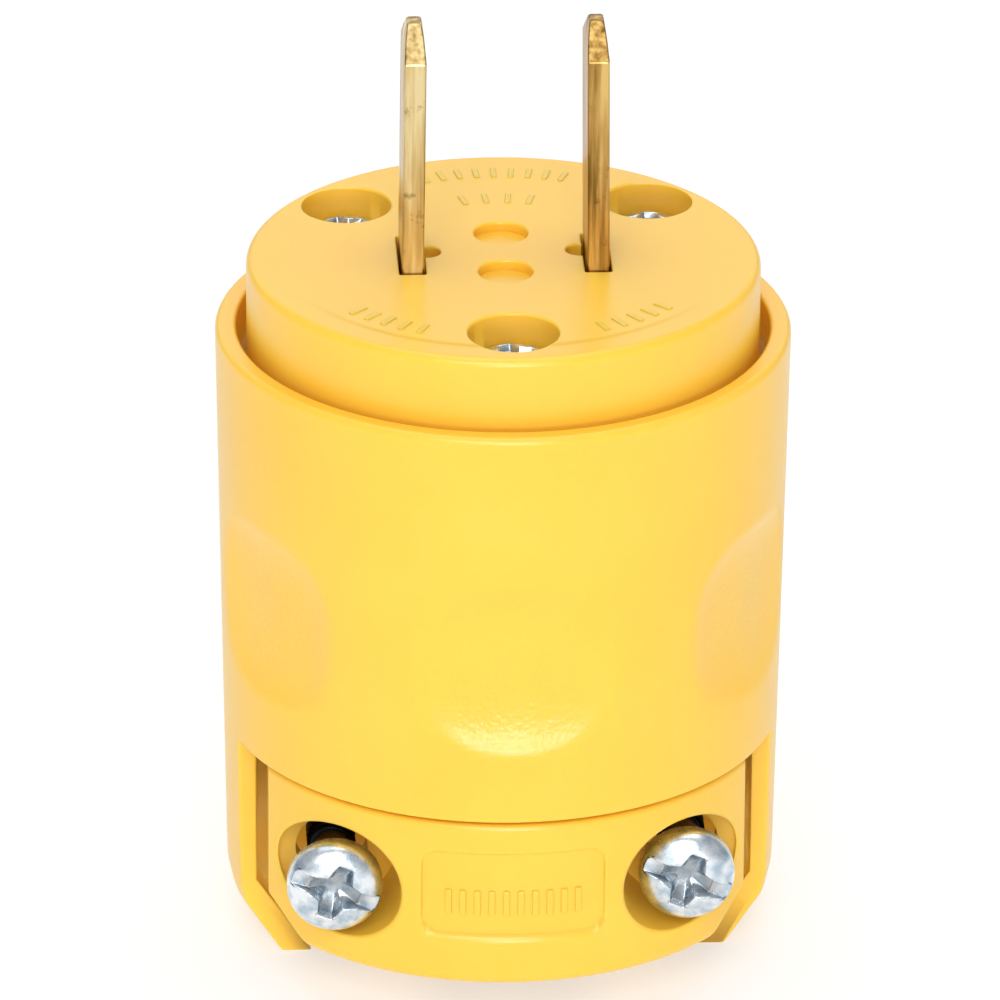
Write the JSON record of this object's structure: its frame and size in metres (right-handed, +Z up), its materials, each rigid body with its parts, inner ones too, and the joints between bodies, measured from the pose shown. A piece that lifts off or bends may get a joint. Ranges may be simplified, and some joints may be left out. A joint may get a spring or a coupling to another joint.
{
  "type": "two-blade rewirable straight plug",
  "caption": "Yellow straight plug with parallel flat blades, a round shell with thumb dimples, a screwed-on face and an outside screw-down cord clamp.",
  "frame": {"origin": "on the plug's axis, at the bottom of the shell, which it stands on", "axes": "+Z up along the blades, -Y towards the cord clamp plate, +X from the left blade to the right blade"},
  "size_m": [0.0396, 0.0396, 0.0669],
  "materials": {
    "yellow_plastic": "moulded, glossy yellow",
    "block_plastic": "moulded, satin off-white",
    "brass": "stamped, lightly tarnished",
    "zinc_steel": "bright zinc plated"
  },
  "bodies": {
    "shell": {"shell": "yellow_plastic", "clamp_nut_left": "zinc_steel", "clamp_nut_right": "zinc_steel", "threaded_insert_front": "brass", "threaded_insert_left": "brass", "threaded_insert_right": "brass"},
    "face_assembly": {"face": "yellow_plastic", "terminal_block": "block_plastic", "blade_left": "brass", "blade_right": "brass"},
    "clamp_plate": {"clamp_plate": "yellow_plastic"},
    "face_screw_front": {"face_screw_front": "zinc_steel"},
    "face_screw_left": {"face_screw_left": "zinc_steel"},
    "face_screw_right": {"face_screw_right": "zinc_steel"},
    "clamp_screw_left": {"clamp_screw_left": "zinc_steel"},
    "clamp_screw_right": {"clamp_screw_right": "zinc_steel"},
    "terminal_clamp_left": {"terminal_clamp_left": "brass"},
    "terminal_clamp_right": {"terminal_clamp_right": "brass"},
    "terminal_screw_left": {"terminal_screw_left": "zinc_steel"},
    "terminal_screw_right": {"terminal_screw_right": "zinc_steel"}
  },
  "joints": [
    {"name": "face_lift", "type": "slide", "parent": "shell", "child": "face_assembly", "axis": [0, 0, 1], "range_m": [0, 0.036]},
    {"name": "face_screw_front_turn", "type": "hinge", "parent": "face_assembly", "child": "face_screw_front", "pos_m": [0, -0.0132, 0.0474], "axis": [0, 0, 1], "range_deg": [0, 2160]},
    {"name": "face_screw_left_turn", "type": "hinge", "parent": "face_assembly", "child": "face_screw_left", "pos_m": [-0.01045, 0.00895, 0.0474], "axis": [0, 0, 1], "range_deg": [0, 2160]},
    {"name": "face_screw_right_turn", "type": "hinge", "parent": "face_assembly", "child": "face_screw_right", "pos_m": [0.01045, 0.00895, 0.0474], "axis": [0, 0, 1], "range_deg": [0, 2160]},
    {"name": "clamp_plate_travel", "type": "slide", "parent": "shell", "child": "clamp_plate", "axis": [0, 1, 0], "range_m": [-0.0024, 0.0044]},
    {"name": "clamp_screw_left_turn", "type": "hinge", "parent": "clamp_plate", "child": "clamp_screw_left", "pos_m": [-0.01215, -0.0138, 0.01], "axis": [0, 1, 0], "range_deg": [-1090, 1998]},
    {"name": "clamp_screw_right_turn", "type": "hinge", "parent": "clamp_plate", "child": "clamp_screw_right", "pos_m": [0.01215, -0.0126, 0.01], "axis": [0, 1, 0], "range_deg": [-1090, 1998]},
    {"name": "terminal_clamp_left_travel", "type": "slide", "parent": "face_assembly", "child": "terminal_clamp_left", "axis": [-1, 0, 0], "range_m": [0, 0.0016]},
    {"name": "terminal_screw_left_turn", "type": "hinge", "parent": "terminal_clamp_left", "child": "terminal_screw_left", "pos_m": [-0.009, 0, 0.0343], "axis": [-1, 0, 0], "range_deg": [0, 727]},
    {"name": "terminal_clamp_right_travel", "type": "slide", "parent": "face_assembly", "child": "terminal_clamp_right", "axis": [1, 0, 0], "range_m": [0, 0.0016]},
    {"name": "terminal_screw_right_turn", "type": "hinge", "parent": "terminal_clamp_right", "child": "terminal_screw_right", "pos_m": [0.009, 0, 0.0343], "axis": [1, 0, 0], "range_deg": [0, 727]}
  ],
  "couplings": [
    {"joint": "clamp_screw_left_turn", "follows": "clamp_plate_travel", "rad_per_m": 7915.8},
    {"joint": "clamp_screw_right_turn", "follows": "clamp_plate_travel", "rad_per_m": 7915.8},
    {"joint": "terminal_screw_left_turn", "follows": "terminal_clamp_left_travel", "rad_per_m": 7915.8},
    {"joint": "terminal_screw_right_turn", "follows": "terminal_clamp_right_travel", "rad_per_m": 7915.8}
  ]
}
